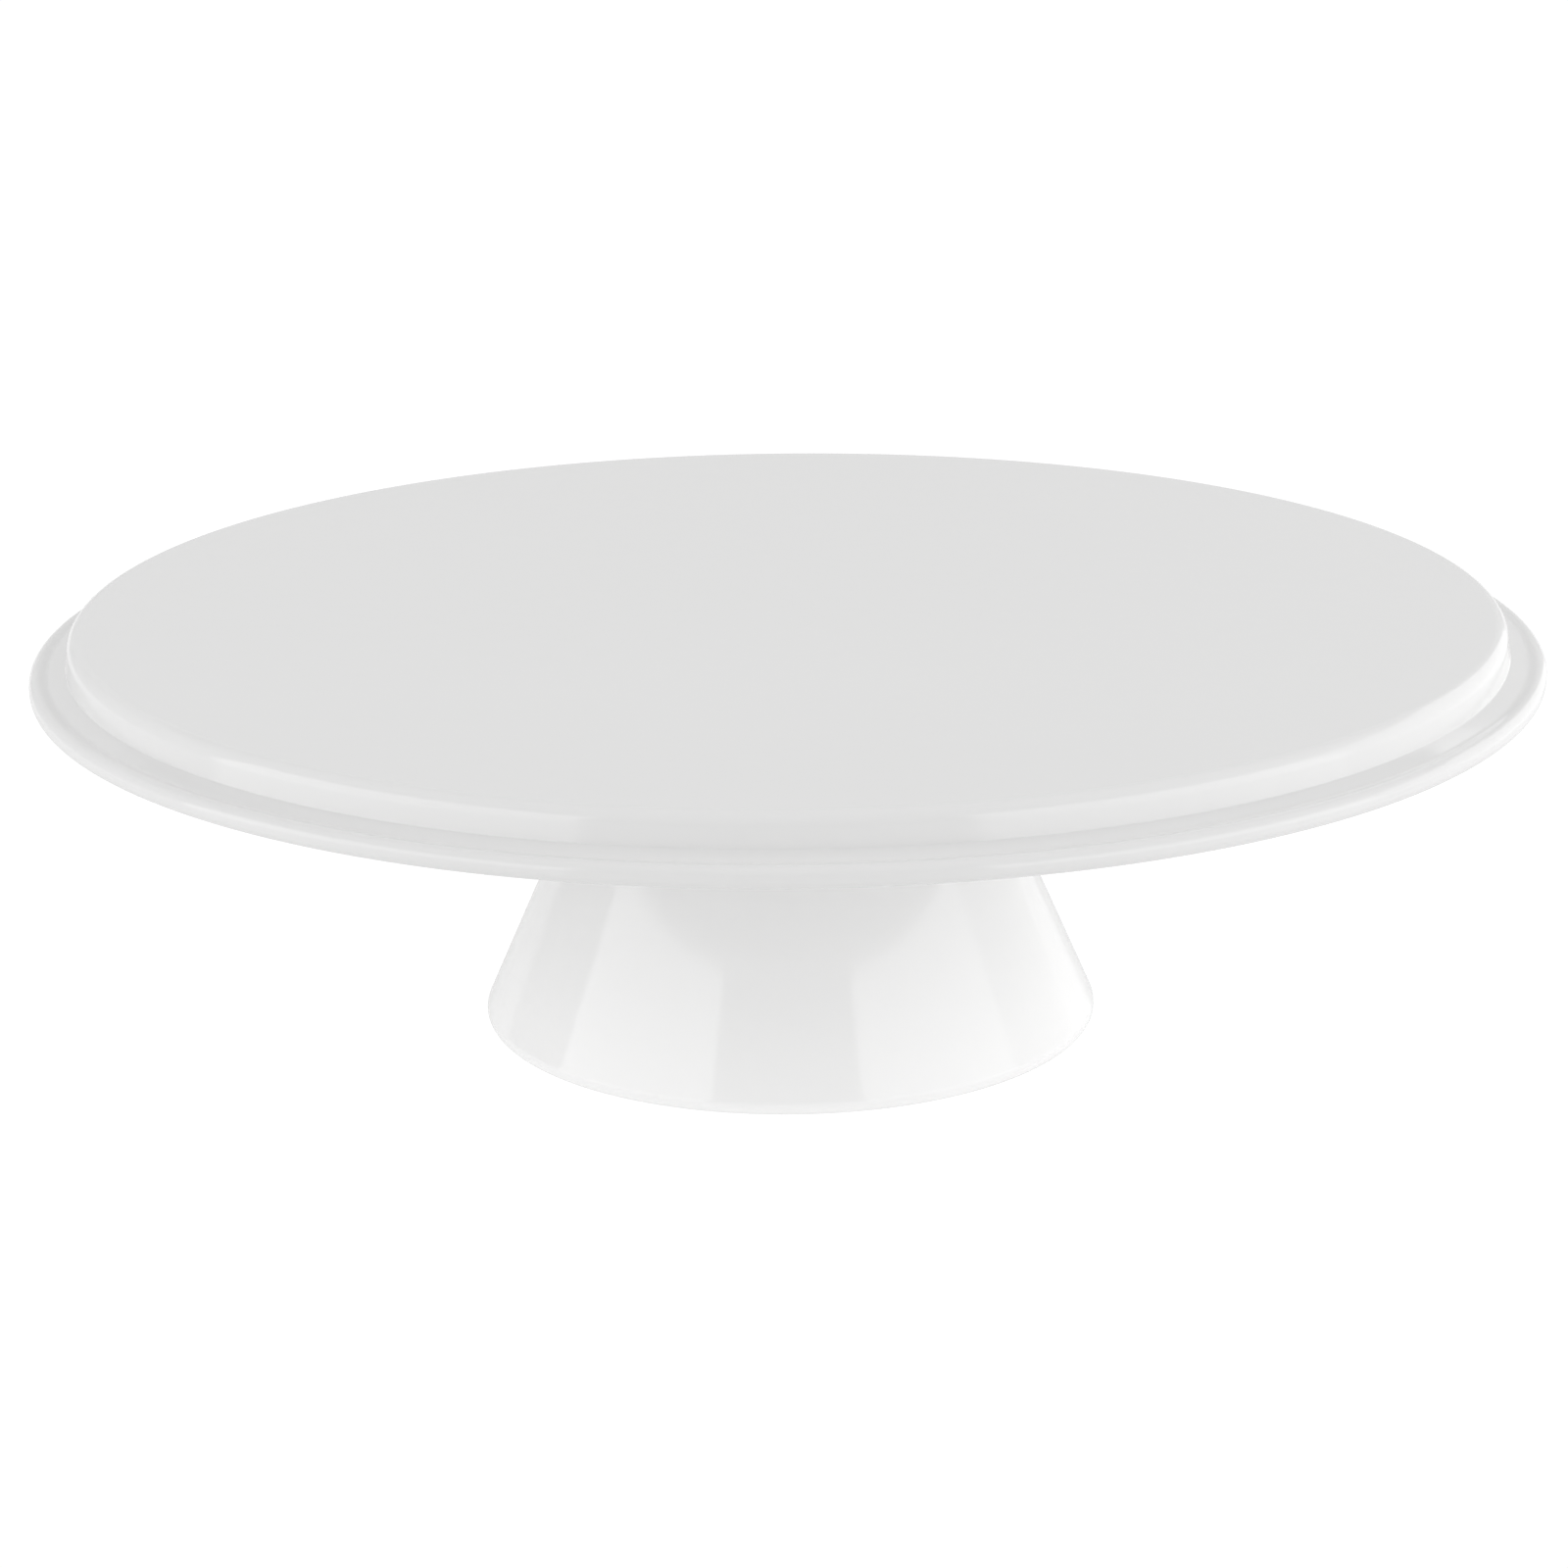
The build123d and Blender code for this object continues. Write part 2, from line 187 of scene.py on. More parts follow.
def add_lathe(bm, points, steps, centre=(0, 0)):
    """Turns a closed outline about a vertical axis through centre."""
    rings = []
    for radius, height in points:
        if radius < ON_AXIS:
            rings.append([bm.verts.new((centre[0] * MM, centre[1] * MM, height * MM))])
            continue
        ring = []
        for k in range(steps):
            angle = 2 * math.pi * k / steps
            x = centre[0] + radius * math.cos(angle)
            y = centre[1] + radius * math.sin(angle)
            ring.append(bm.verts.new((x * MM, y * MM, height * MM)))
        rings.append(ring)
    for i, ring in enumerate(rings):
        join_rings(bm, ring, rings[(i + 1) % len(rings)])


def join_rings(bm, ring, after):
    """Fills the band between two rings of points; a ring of one point is a pole."""
    count = max(len(ring), len(after))
    if count == 1:
        return
    for k in range(count):
        corners = [ring[k % len(ring)], after[k % len(after)]]
        corners += [after[(k + 1) % len(after)], ring[(k + 1) % len(ring)]]
        unique = list(dict.fromkeys(corners))
        if len(unique) > 2:
            bm.faces.new(unique)


def lathe(name, points):
    """A new piece from one outline turned about the stand's own axis."""
    bm = bmesh.new()
    add_lathe(bm, points, ROUND_STEPS)
    return add_object(name, clean_mesh(name, bm))


def add_stack(bm, levels):
    """A closed solid through levels, bottom first, each (height, corners (x, y)) with as many
    corners."""
    rings = []
    for height, corners in levels:
        rings.append([bm.verts.new((x * MM, y * MM, height * MM)) for x, y in corners])
    bm.faces.new(rings[0][::-1])
    bm.faces.new(rings[-1])
    for low, high in zip(rings, rings[1:]):
        join_rings(bm, low, high)


def circle_corners(centre, radius, steps=48):
    """Corners (x, y) of a many-sided circle."""
    angles = [2 * math.pi * k / steps for k in range(steps)]
    return [(centre[0] + radius * math.cos(a), centre[1] + radius * math.sin(a)) for a in angles]


def around(circle_radius, count, first_angle=0.0):
    """Centres (x, y) of a pattern of count places on a circle."""
    places = []
    for k in range(count):
        angle = math.radians(first_angle) + 2 * math.pi * k / count
        places.append((circle_radius * math.cos(angle), circle_radius * math.sin(angle)))
    return places


def combine(thing, tool_bm, operation):
    """Applies an exact boolean with the solids in tool_bm, and shades the result again."""
    tool = add_object(thing.name + "_tool", clean_mesh("tool", tool_bm))
    change = thing.modifiers.new("combine", "BOOLEAN")
    change.object = tool
    change.operation = operation
    change.solver = "EXACT"
    bpy.context.view_layer.update()
    evaluated = thing.evaluated_get(bpy.context.evaluated_depsgraph_get())
    bm = bmesh.new()
    bm.from_mesh(evaluated.to_mesh())
    evaluated.to_mesh_clear()
    thing.modifiers.clear()
    bpy.data.objects.remove(tool)
    thing.data = clean_mesh(thing.name, bm)


def split_polygons(thing):
    """Splits the many-sided faces that booleans leave into triangles. Two neighbours can then each
    have a sliver on the same three points, back to back, and both slivers go."""
    bm = bmesh.new()
    bm.from_mesh(thing.data)
    bmesh.ops.triangulate(bm, faces=[face for face in bm.faces if len(face.verts) > 4])
    on_points = {}
    for face in bm.faces:
        on_points.setdefault(frozenset(face.verts), []).append(face)
    slivers = [face for faces in on_points.values() if len(faces) == 2 for face in faces]
    bmesh.ops.delete(bm, geom=slivers, context="FACES")
    thing.data = clean_mesh(thing.name, bm)


# ---------------------------------------------------------------- materials

IOR = 1.5
FLOW_LIGHTER = (0.006, 0.005, 0.003)   # how far flow marks move a moulding's white, by channel
FLOW_DARKER = (0.006, 0.007, 0.009)


def new_material(name, roughness, metallic=0.0):
    """A principled material, with its number sockets set directly, and the coordinates it draws on."""
    made = bpy.data.materials.new(name + "_look")
    made.use_nodes = True
    tree = made.node_tree
    shader = tree.nodes["Principled BSDF"]
    shader.inputs["Roughness"].default_value = roughness
    shader.inputs["Metallic"].default_value = metallic
    shader.inputs["IOR"].default_value = IOR
    place = tree.nodes.new("ShaderNodeTexCoord")
    return made, tree, shader, place.outputs["Object"]


def add_noise(tree, place, scale, detail=2.0, roughness=0.5):
    """Soft noise from 0 to 1."""
    noise = tree.nodes.new("ShaderNodeTexNoise")
    noise.inputs["Scale"].default_value = scale
    noise.inputs["Detail"].default_value = detail
    noise.inputs["Roughness"].default_value = roughness
    tree.links.new(place, noise.inputs["Vector"])
    return noise.outputs["Fac"]


def add_range(tree, value, low, high, from_low=0.0, from_high=1.0):
    """Maps a value from one range to another."""
    span = tree.nodes.new("ShaderNodeMapRange")
    span.inputs["From Min"].default_value = from_low
    span.inputs["From Max"].default_value = from_high
    span.inputs["To Min"].default_value = low
    span.inputs["To Max"].default_value = high
    tree.links.new(value, span.inputs["Value"])
    return span.outputs["Result"]


def add_mix(tree, share, first, second):
    """Mixes two even colours."""
    mix = tree.nodes.new("ShaderNodeMix")
    mix.data_type = "RGBA"
    colours = [s for s in mix.inputs if s.type == "RGBA"]
    for socket, colour in zip(colours, (first, second)):
        socket.default_value = (*colour, 1.0)
    tree.links.new(share, mix.inputs["Factor"])
    return next(s for s in mix.outputs if s.type == "RGBA")


def add_bump(tree, shader, height, distance, strength):
    """A fine relief in the shading; distance is its height, in metres."""
    bump = tree.nodes.new("ShaderNodeBump")
    bump.inputs["Distance"].default_value = distance
    bump.inputs["Strength"].default_value = strength
    tree.links.new(height, bump.inputs["Height"])
    tree.links.new(bump.outputs["Normal"], shader.inputs["Normal"])


def gloss_moulding(name, tone):
    """Glossy white moulding: even tone, slight flow marks, faint ripple in the gloss."""
    made, tree, shader, place = new_material(name, roughness=0.08)
    flow = add_noise(tree, place, scale=9.0, detail=3.0)
    light = tuple(tone + change for change in FLOW_LIGHTER)
    dark = tuple(tone - change for change in FLOW_DARKER)
    tree.links.new(add_mix(tree, flow, light, dark), shader.inputs["Base Color"])
    haze = add_noise(tree, place, scale=45.0, detail=4.0)
    rough = add_range(tree, haze, low=0.06, high=0.11, from_low=0.3, from_high=0.7)
    tree.links.new(rough, shader.inputs["Roughness"])
    ripple = add_noise(tree, place, scale=160.0, detail=1.0)
    add_bump(tree, shader, ripple, distance=0.00002, strength=0.35)
    return made


def grained_plastic(name, light, dark, roughness, grain=2600.0):
    """Moulded plastic with a fine spark-eroded grain."""
    made, tree, shader, place = new_material(name, roughness)
    clouds = add_noise(tree, place, scale=30.0, detail=3.0)
    tree.links.new(add_mix(tree, clouds, light, dark), shader.inputs["Base Color"])
    fine = add_noise(tree, place, scale=grain, roughness=0.7)
    rough = add_range(tree, fine, low=roughness - 0.08, high=roughness + 0.08)
    tree.links.new(rough, shader.inputs["Roughness"])
    add_bump(tree, shader, fine, distance=0.00004, strength=0.6)
    return made


def turned_metal(name, colour, roughness):
    """Turned or ground metal: fine rings about the turning axis and a few duller patches."""
    made, tree, shader, place = new_material(name, roughness, metallic=1.0)
    split = tree.nodes.new("ShaderNodeSeparateXYZ")
    tree.links.new(place, split.inputs["Vector"])
    flat = tree.nodes.new("ShaderNodeCombineXYZ")
    tree.links.new(split.outputs["X"], flat.inputs["X"])
    tree.links.new(split.outputs["Y"], flat.inputs["Y"])
    length = tree.nodes.new("ShaderNodeVectorMath")
    length.operation = "LENGTH"
    tree.links.new(flat.outputs["Vector"], length.inputs[0])
    stack = tree.nodes.new("ShaderNodeCombineXYZ")
    tree.links.new(length.outputs["Value"], stack.inputs["X"])
    tree.links.new(split.outputs["Z"], stack.inputs["Z"])
    rings = add_noise(tree, stack.outputs["Vector"], scale=3600.0, roughness=0.6)
    dull = add_noise(tree, place, scale=120.0, detail=3.0)
    darker = tuple(0.8 * channel for channel in colour)
    tree.links.new(add_mix(tree, dull, colour, darker), shader.inputs["Base Color"])
    rough = add_range(tree, rings, low=roughness - 0.08, high=roughness + 0.1)
    tree.links.new(rough, shader.inputs["Roughness"])
    add_bump(tree, shader, rings, distance=0.00001, strength=0.5)
    return made


def rubber(name, black, dusty):
    """Dull black rubber, dusty in patches."""
    made, tree, shader, place = new_material(name, roughness=0.75)
    grime = add_noise(tree, place, scale=400.0, detail=4.0)
    tree.links.new(add_mix(tree, grime, black, dusty), shader.inputs["Base Color"])
    fine = add_noise(tree, place, scale=5000.0)
    rough = add_range(tree, fine, low=0.65, high=0.85)
    tree.links.new(rough, shader.inputs["Roughness"])
    add_bump(tree, shader, fine, distance=0.00005, strength=0.7)
    return made


def painted_iron(name, dark, light):
    """Black painted casting with the sand's texture under the paint."""
    made, tree, shader, place = new_material(name, roughness=0.5)
    patches = add_noise(tree, place, scale=70.0, detail=4.0)
    tree.links.new(add_mix(tree, patches, dark, light), shader.inputs["Base Color"])
    sand = add_noise(tree, place, scale=900.0, detail=5.0, roughness=0.65)
    rough = add_range(tree, sand, low=0.38, high=0.62)
    tree.links.new(rough, shader.inputs["Roughness"])
    add_bump(tree, shader, sand, distance=0.00025, strength=0.8)
    return made


# Plate and foot are one white moulding given two tones: the plate's is darker, painted shade, and the
# foot's is lighter, painted light, for how light falls on each.
PLATE_WHITE_PAINTED_SHADE = gloss_moulding("white_moulding", 0.80)
FOOT_WHITE_PAINTED_LIGHT = gloss_moulding("white_moulding_foot", 0.86)
COVER = grained_plastic("cover_plastic", (0.60, 0.60, 0.59), (0.56, 0.56, 0.55), 0.45)
NYLON = grained_plastic("cage_nylon", (0.74, 0.72, 0.63), (0.68, 0.65, 0.56), 0.4, grain=1500.0)
ACETAL = grained_plastic("bush_plastic", (0.030, 0.030, 0.032), (0.045, 0.045, 0.047), 0.35)
RACE_STEEL = turned_metal("race_steel", (0.58, 0.58, 0.59), 0.28)
SPINDLE_STEEL = turned_metal("spindle_steel", (0.62, 0.62, 0.63), 0.22)
SPRING_STEEL = turned_metal("spring_steel", (0.26, 0.26, 0.28), 0.35)
ZINC = turned_metal("zinc_steel", (0.66, 0.68, 0.70), 0.32)
BALL_STEEL = turned_metal("ball_steel", (0.80, 0.80, 0.82), 0.12)
BRASS = turned_metal("insert_brass", (0.75, 0.55, 0.24), 0.3)
RUBBER = rubber("pad_rubber", (0.055, 0.055, 0.056), (0.085, 0.083, 0.080))
IRON = painted_iron("ballast_iron", (0.030, 0.031, 0.033), (0.050, 0.050, 0.052))


def dress(thing, made, body, slot, *nodes):
    """Gives a new piece its material and body, and lets it stand for CAD nodes. The slot is not used.
    """
    thing.data.materials.clear()
    thing.data.materials.append(made)
    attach(thing, body)
    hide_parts(*nodes)


def dress_node(node, made):
    """Gives a CAD node that stays a better material."""
    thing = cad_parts[node]
    thing.data.materials.clear()
    thing.data.materials.append(made)


# ---------------------------------------------------------------- plate

def rib_section():
    """Half a rib's section from its root to its middle, as (distance from the middle, drop)."""
    points = []
    for turn in RIB_ROUND_ANGLES:
        away = RIB_HALF + RIB_ROOT_ROUND * (1 - math.sin(turn))
        points.append((away, RIB_ROOT_ROUND * (1 - math.cos(turn))))
    for turn in RIB_ROUND_ANGLES:
        away = RIB_TIP_HALF - RIB_TIP_ROUND * (1 - math.cos(turn))
        points.append((away, RIB_HEIGHT - RIB_TIP_ROUND * (1 - math.sin(turn))))
    return points


def plate_divisions():
    """Round the plate, for each division: (rib number, distance from its middle, drop) on a rib,
    or (rib number, share of the way to the next rib, None) between two ribs."""
    section = rib_section()
    divisions = []
    for k in range(RIB_COUNT):
        divisions += [(k, -away, drop) for away, drop in section]
        divisions.append((k, 0.0, RIB_HEIGHT))
        divisions += [(k, away, drop) for away, drop in section[::-1]]
        divisions += [(k, step / PLATE_STEPS, None) for step in range(1, PLATE_STEPS)]
    return divisions


def division_angle(division, radius):
    """Where a division lies round the plate at a radius; a rib's sides are parallel."""
    rib, measure, drop = division
    sector = 2 * math.pi / RIB_COUNT
    reach = max(radius, SKIRT_OUTER)
    if drop is not None:
        return rib * sector + math.asin(measure / reach)
    root = math.asin((RIB_HALF + RIB_ROOT_ROUND) / reach)
    return rib * sector + root + measure * (sector - 2 * root)


def bead_points(valley):
    """The bead: it leaves the ledge in a soft valley, rounds over its crest and turns down into the
    rim's face."""
    crest_radius, crest_height = BEAD_CREST
    span = crest_radius - valley.x
    slope = (LEDGE_OUTER[1] - LEDGE_INNER[1]) / (LEDGE_OUTER[0] - LEDGE_INNER[0])
    points = []
    for k in range(1, BEAD_RISE_STEPS + 1):
        t = k / BEAD_RISE_STEPS
        start_share = 2 * t ** 3 - 3 * t ** 2 + 1
        lean = (t ** 3 - 2 * t ** 2 + t) * slope * span
        height = valley.y * start_share + lean + crest_height * (1 - start_share)
        points.append(Vector((valley.x + span * t, height)))
    for k in range(1, BEAD_TURN_STEPS + 1):
        turn = math.pi / 2 * k / BEAD_TURN_STEPS
        across = (PLATE_RADIUS - crest_radius) * math.sin(turn)
        down = (crest_height - RIM_FACE_TOP) * (1 - math.cos(turn))
        points.append(Vector((crest_radius + across, crest_height - down)))
    return points


def shown_points():
    """Plateau, ledge, bead and rim, from the middle of the top to the foot of the inner wall."""
    top = outline(
        [
            (0, STAND_HEIGHT),
            (PLATEAU_RADIUS, STAND_HEIGHT, PLATEAU_EDGE_ROUND),
            (*LEDGE_INNER, LEDGE_ROUND),
            LEDGE_OUTER,
        ],
        closed=False,
    )
    top[-1] = top[-1].lerp(top[-2], VALLEY_SHARE)
    rim = outline(
        [
            (PLATE_RADIUS, RIM_FACE_TOP),
            (PLATE_RADIUS, RIM_UNDERSIDE, RIM_ROUND),
            (INNER_WALL, RIM_UNDERSIDE, RIM_INNER_ROUND),
            (INNER_WALL, DECK_UNDERSIDE - RIB_HEIGHT),
        ],
        closed=False,
    )
    return supported(top + bead_points(top[-1]) + rim[1:], closed=False)


def ribbed_points():
    """The ribbed underside, from the inner wall over the ring rib to the dust skirt."""
    wall_top = arc_points(
        (INNER_WALL, DECK_UNDERSIDE - RIB_HEIGHT),
        (INNER_WALL, DECK_UNDERSIDE),
        (0, DECK_UNDERSIDE),
        UNDER_DECK_ROUND,
    )
    section = rib_section()
    ring_rib = [Vector((RING_RIB_RADIUS + away, DECK_UNDERSIDE - drop)) for away, drop in section]
    ring_rib += [
        Vector((RING_RIB_RADIUS - away, DECK_UNDERSIDE - drop)) for away, drop in section[::-1]
    ]
    skirt_root = arc_points(
        (INNER_WALL, DECK_UNDERSIDE),
        (SKIRT_OUTER, DECK_UNDERSIDE),
        (SKIRT_OUTER, SKIRT_BOTTOM),
        RIB_ROOT_ROUND,
        math.radians(30),
    )
    skirt_end = [Vector((SKIRT_OUTER, DECK_UNDERSIDE - RIB_HEIGHT))]
    return supported(wall_top + ring_rib + skirt_root + skirt_end, closed=False)


def hub_points():
    """Dust skirt, the two ribs that centre the race, hub and the insert's pocket."""
    corners = [
        (SKIRT_OUTER, DECK_UNDERSIDE - RIB_HEIGHT),
        (SKIRT_OUTER, SKIRT_BOTTOM, END_ROUND),
        (SKIRT_INNER, SKIRT_BOTTOM, END_ROUND),
        (SKIRT_INNER, DECK_UNDERSIDE),
    ]
    for inner, outer in (OUTER_RACE_RIB, INNER_RACE_RIB):
        corners += [
            (outer, DECK_UNDERSIDE),
            (outer, RACE_RIB_BOTTOM, EDGE_ROUND),
            (inner, RACE_RIB_BOTTOM, EDGE_ROUND),
            (inner, DECK_UNDERSIDE),
        ]
    corners += [
        (HUB_RADIUS, DECK_UNDERSIDE),
        (HUB_RADIUS, HUB_BOTTOM, END_ROUND),
        (INSERT_RADIUS, HUB_BOTTOM),
        (INSERT_RADIUS, INSERT_TOP),
        (0, INSERT_TOP),
    ]
    return outline(corners, closed=False)[1:]


def make_plate():
    """The plate as rings of points: turned all over, with radial ribs under its deck."""
    divisions = plate_divisions()
    section = [(point, False) for point in shown_points()]
    section += [(point, True) for point in ribbed_points()]
    section += [(point, False) for point in hub_points()]
    bm = bmesh.new()
    rings = []
    for (radius, height), ribbed in section:
        if radius < ON_AXIS:
            rings.append([bm.verts.new((0, 0, height * MM))])
            continue
        ring = []
        for division in divisions:
            angle = division_angle(division, radius)
            z = min(height, DECK_UNDERSIDE - (division[2] or 0)) if ribbed else height
            place = (radius * math.cos(angle) * MM, radius * math.sin(angle) * MM, z * MM)
            ring.append(bm.verts.new(place))
        rings.append(ring)
    for ring, after in zip(rings, rings[1:]):
        join_rings(bm, ring, after)
    thing = add_object("turntable_plate", clean_mesh("turntable_plate", bm))
    dress(thing, PLATE_WHITE_PAINTED_SHADE, "turntable", "white_moulding", "plate")


# ---------------------------------------------------------------- pedestal

CONE_AT_GROUND = 64.7
CONE_SLOPE = 0.44
CONE_THICKNESS = 3.2
CONE_WALL = CONE_THICKNESS / math.cos(math.atan(CONE_SLOPE))      # measured level
FOOT_RIM = 0.5
FOOT_ROUND = 2.2
NECK_ROUND = 0.8
PEDESTAL_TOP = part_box("pedestal")[1].z / MM
COVER_BOTTOM = 2.6
COVER_TOP = 5.0
COVER_RADIUS = 58.5
FOOT_BORE = 59.2
COVER_SEAT = 56.5
RACE_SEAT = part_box("lower_race")[0].z / MM
RACE_RIB_RISE = 1.2           # the rib that centres the lower race, above its seat
RACE_RIB_WALL = 1.0
TOP_WALL = 3.2                # the wall that joins cone and tube
TOP_CORNER_ROUND = 1.0
TUBE_TOP = 75.4
TUBE_BOTTOM = 44.0
TUBE_RADIUS = 10.0
TUBE_ROOT_ROUND = 0.6
BUSH_RADIUS = 6.5
BALLAST_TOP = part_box("ballast_ring")[1].z / MM
SCREW_CIRCLE = 48.0
SCREW_COUNT = 3
SCREW_ANGLE = 30.0
WEB_ANGLE = 90.0
BOSS_RADIUS = 4.8
BOSS_HEIGHT = 30.0
BOSS_STEPS = 12               # levels at which a boss follows the cone
PILOT_RADIUS = 1.7
PILOT_DEPTH = 10.6
PILOT_STEPS = 24
WEB_HALF = 1.2
WEB_INNER = 30.0
WEB_BITE = 1.6                # how far a web runs into the cone's wall
LOWER_WEB_TOP = TUBE_BOTTOM + 1.0
UPPER_WEB_BOTTOM = TUBE_BOTTOM + 0.6
UPPER_WEB_TOP = TUBE_TOP - 0.8
CUT_PAST = 1.0                # how far a cutter starts outside the face it cuts


def cone_radius(height):
    """The cone's outer radius at a height."""
    return CONE_AT_GROUND - CONE_SLOPE * height


def cone_bore(height):
    """The cone's inner radius at a height."""
    return cone_radius(height) - CONE_WALL


def pedestal_outline():
    """The pedestal's section: foot, cone, race seat, spindle tube and the seat of the base cover."""
    race_in, race_out = INNER_RACE_RIB[1], OUTER_RACE_RIB[0]
    recess = INNER_RACE_RIB[0]
    rib_top = RACE_SEAT + RACE_RIB_RISE
    root = race_in + RACE_RIB_WALL
    seat_start = (cone_bore(0) - COVER_SEAT) / CONE_SLOPE
    corners = [
        (FOOT_BORE, FOOT_RIM, EDGE_ROUND),
        (cone_radius(FOOT_RIM), FOOT_RIM, FOOT_ROUND),
        (cone_radius(PEDESTAL_TOP), PEDESTAL_TOP, NECK_ROUND),
        (race_out, PEDESTAL_TOP, EDGE_ROUND),
        (race_out, RACE_SEAT),
        (race_in, RACE_SEAT),
        (race_in, rib_top, EDGE_ROUND),
        (recess, rib_top, EDGE_ROUND),
        (recess, TUBE_TOP),
        (BUSH_RADIUS, TUBE_TOP),
        (BUSH_RADIUS, TUBE_BOTTOM),
        (TUBE_RADIUS, TUBE_BOTTOM, END_ROUND),
        (TUBE_RADIUS, TUBE_TOP - TOP_WALL, TUBE_ROOT_ROUND),
        (root, TUBE_TOP - TOP_WALL),
        (root, TUBE_TOP),
        (cone_bore(TUBE_TOP), TUBE_TOP, TOP_CORNER_ROUND),
        (COVER_SEAT, seat_start),
        (COVER_SEAT, COVER_TOP),
        (FOOT_BORE, COVER_TOP),
    ]
    return supported(outline(corners))


def web_corners(angle, inner, outer):
    """Plan of a web that runs out along an angle."""
    along = Vector((math.cos(angle), math.sin(angle)))
    side = Vector((-along.y, along.x)) * WEB_HALF
    return [along * inner - side, along * outer - side, along * outer + side, along * inner + side]


def add_cone_trimmed(bm, corners, bottom, top, steps=1):
    """A prism whose outer corners follow the cone, half way through its wall."""
    levels = []
    for k in range(steps + 1):
        height = bottom + (top - bottom) * k / steps
        limit = cone_radius(height) - CONE_WALL / 2
        shares = [min(1.0, limit / math.hypot(x, y)) for x, y in corners]
        levels.append((height, [(x * share, y * share) for (x, y), share in zip(corners, shares)]))
    add_stack(bm, levels)


def make_pedestal():
    """The moulded cone with its tube, webs from tube to cone, and bosses with pilot holes."""
    thing = lathe("pedestal_cone", pedestal_outline())
    angles = [math.radians(WEB_ANGLE) + 2 * math.pi * k / SCREW_COUNT for k in range(SCREW_COUNT)]
    screw_places = around(SCREW_CIRCLE, SCREW_COUNT, SCREW_ANGLE)
    lower_webs = bmesh.new()
    for angle in angles:
        corners = web_corners(angle, WEB_INNER, cone_bore(BALLAST_TOP) + WEB_BITE)
        add_cone_trimmed(lower_webs, corners, BALLAST_TOP, LOWER_WEB_TOP)
    combine(thing, lower_webs, "UNION")
    upper_webs = bmesh.new()
    in_tube_wall = (BUSH_RADIUS + TUBE_RADIUS) / 2
    for angle in angles:
        corners = web_corners(angle, in_tube_wall, cone_bore(TUBE_BOTTOM) + WEB_BITE)
        add_cone_trimmed(upper_webs, corners, UPPER_WEB_BOTTOM, UPPER_WEB_TOP)
    combine(thing, upper_webs, "UNION")
    bosses = bmesh.new()
    for centre in screw_places:
        corners = circle_corners(centre, BOSS_RADIUS)
        add_cone_trimmed(bosses, corners, COVER_TOP, COVER_TOP + BOSS_HEIGHT, BOSS_STEPS)
    combine(thing, bosses, "UNION")
    pilots = bmesh.new()
    for centre in screw_places:
        corners = circle_corners(centre, PILOT_RADIUS, PILOT_STEPS)
        add_stack(pilots, [(COVER_TOP - CUT_PAST, corners), (COVER_TOP + PILOT_DEPTH, corners)])
    combine(thing, pilots, "DIFFERENCE")
    split_polygons(thing)
    # The foot's white is painted lighter than the plate's, a painted light for the light that reaches
    # the cone.
    dress(thing, FOOT_WHITE_PAINTED_LIGHT, "base", "white_moulding_foot", "pedestal")


# ---------------------------------------------------------------- base cover, screws and pads

PAD_COUNT = 6
PAD_CIRCLE = 49.0
PAD_RADIUS = 6.0
PAD_RECESS = 0.8
PAD_GAP = 0.15
PAD_ROUND = 0.6
PAD_TOP_ROUND = 0.1
PAD_GROOVES = (2.0, 3.9)
PAD_GROOVE_DEPTH = 0.35
PAD_GROOVE_HALVES = (0.35, 0.2)        # half its width at the mouth and at the floor
PAD_GROOVE_ROUNDS = (0.12, 0.1)
PAD_STEPS = 64
SPIGOT_INNER = 41.6
SPIGOT_OUTER = 43.0
SPIGOT_HEIGHT = 3.0
SPIGOT_TOP = COVER_TOP + SPIGOT_HEIGHT
COVER_ROUND = 0.5
COVER_GROOVES = (14.0, 36.0)
COVER_GROOVE_DEPTH = 0.4
COVER_GROOVE_HALVES = (1.2, 0.8)
COVER_GROOVE_ROUNDS = (EDGE_ROUND, EDGE_ROUND)
SCREW_HEAD = 3.4
SCREW_LAND = 0.3
SCREW_LENGTH = 12.0
SCREW_POINT = 1.5
SCREW_CORE = 1.25
SCREW_EDGE_ROUND = 0.12
SCREW_STEPS = 48
HOLE_CLEARANCE = 0.2
THREAD_PITCH = 1.3
THREAD_START = 0.3            # plain shank between the head and the thread
THREAD_ROOT = 0.1             # how deep the ridge is set into the core
THREAD_HALF = 0.3             # half the ridge's width at its root, as a share of the pitch
THREAD_STEPS = 24             # divisions of one turn
CROSS_ARM = 1.8
CROSS_HALF = 0.42
CROSS_TAPER = 0.6
CROSS_START = 0.5             # how far the cross starts outside the head
CROSS_DEPTH = 1.2


def groove_corners(middle, height, depth, halves, rounds):
    """Corners of a ring groove in an underside; halves and rounds are for its mouth and floor."""
    mouth_half, floor_half = halves
    mouth_round, floor_round = rounds
    return [
        (middle - mouth_half, height, mouth_round),
        (middle - floor_half, height + depth, floor_round),
        (middle + floor_half, height + depth, floor_round),
        (middle + mouth_half, height, mouth_round),
    ]


